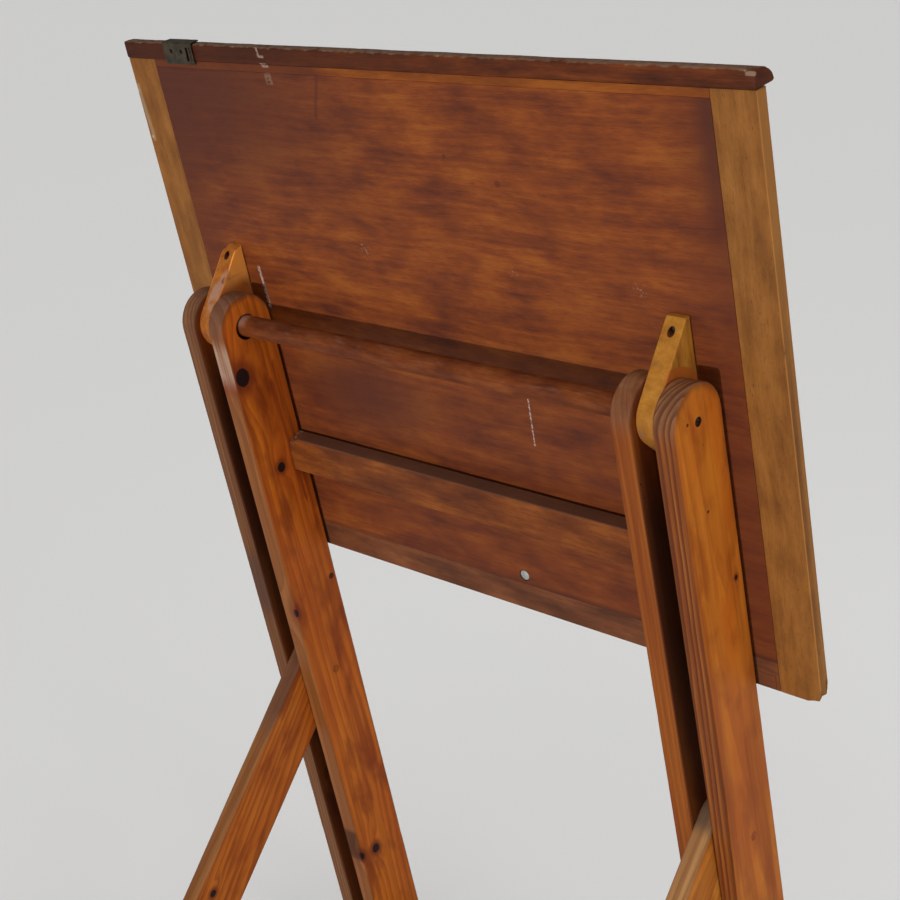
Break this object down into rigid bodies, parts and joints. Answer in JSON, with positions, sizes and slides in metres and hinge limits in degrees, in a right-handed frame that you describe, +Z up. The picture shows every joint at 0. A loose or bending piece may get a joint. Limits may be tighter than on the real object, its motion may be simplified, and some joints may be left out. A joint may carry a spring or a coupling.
{
  "type": "folding drawing table",
  "caption": "Folding A-frame drawing table in pine: a tilting board with a pencil ledge on a dowel between paired planks, and rear legs that fold in.",
  "frame": {"origin": "on the floor, below the middle of the open table's bounding box", "axes": "+Z up; X along the board's width, with the board's round plug on the +X half; -Y towards the folding rear legs, +Y the side that the board's drawing face looks to at rest"},
  "size_m": [0.81, 0.5792, 1.247],
  "materials": {
    "pine_planks": "satin varnish over knotty orange pine",
    "pine_legs": "satin varnish over orange pine",
    "pin_wood": "satin",
    "dowel_wood": "satin dark stain",
    "rail_wood": "satin stain",
    "board_wood": "satin red-brown stain",
    "strip_wood": "satin red-brown stain",
    "cleat_wood": "satin varnish",
    "ledge_wood": "satin dark stain, worn",
    "bracket_wood": "satin varnish over yellow pine",
    "screw_steel": "darkened",
    "stay_steel": "darkened",
    "catch_metal": "aged, matte",
    "plug_metal": "dull grey"
  },
  "bodies": {
    "stand": {"plank_outer_left": "pine_planks", "plank_inner_left": "pine_planks", "dowel_end_screw_left": "screw_steel", "leg_hinge_pin_left": "pin_wood", "cross_rail_screw_left_1": "screw_steel", "foot_rail_screw_left_1": "screw_steel", "cross_rail_screw_left_2": "screw_steel", "foot_rail_screw_left_2": "screw_steel", "plank_outer_right": "pine_planks", "plank_inner_right": "pine_planks", "dowel_end_screw_right": "screw_steel", "leg_hinge_pin_right": "pin_wood", "cross_rail_screw_right_1": "screw_steel", "foot_rail_screw_right_1": "screw_steel", "cross_rail_screw_right_2": "screw_steel", "foot_rail_screw_right_2": "screw_steel", "pivot_dowel": "dowel_wood", "cross_rail": "rail_wood", "foot_rail": "rail_wood"},
    "board": {"board_panel": "board_wood", "board_plug": "plug_metal", "board_lower_strip": "strip_wood", "board_upper_strip": "strip_wood", "pencil_ledge": "ledge_wood", "catch_plate": "catch_metal", "catch_plate_screw_1": "screw_steel", "catch_plate_screw_2": "screw_steel", "end_cleat_left": "cleat_wood", "bracket_left": "bracket_wood", "bracket_screw_left_1": "screw_steel", "bracket_screw_left_2": "screw_steel", "end_cleat_right": "cleat_wood", "bracket_right": "bracket_wood", "bracket_screw_right_1": "screw_steel", "bracket_screw_right_2": "screw_steel"},
    "rear_legs": {"rear_leg_left": "pine_legs", "stretcher_screw_left_1": "screw_steel", "stretcher_screw_left_2": "screw_steel", "rear_leg_right": "pine_legs", "stretcher_screw_right_1": "screw_steel", "stretcher_screw_right_2": "screw_steel", "rear_stretcher": "pine_legs", "stay_eye": "screw_steel"},
    "stay": {"hold_open_stay": "stay_steel"}
  },
  "joints": [
    {"name": "board_tilt", "type": "hinge", "parent": "stand", "child": "board", "pos_m": [0, 0.08598, 0.94], "axis": [1, 0, 0], "range_deg": [0, 175]},
    {"name": "rear_legs_fold", "type": "hinge", "parent": "stand", "child": "rear_legs", "pos_m": [0, 0.1663, 0.4891], "axis": [1, 0, 0], "range_deg": [0, 50]},
    {"name": "stay_swing", "type": "hinge", "parent": "rear_legs", "child": "stay", "pos_m": [0, -0.12701, 0.17775], "axis": [1, 0, 0], "range_deg": [0, 63]}
  ],
  "couplings": [
    {"joint": "stay_swing", "follows": "rear_legs_fold", "ratio": 1.25}
  ]
}
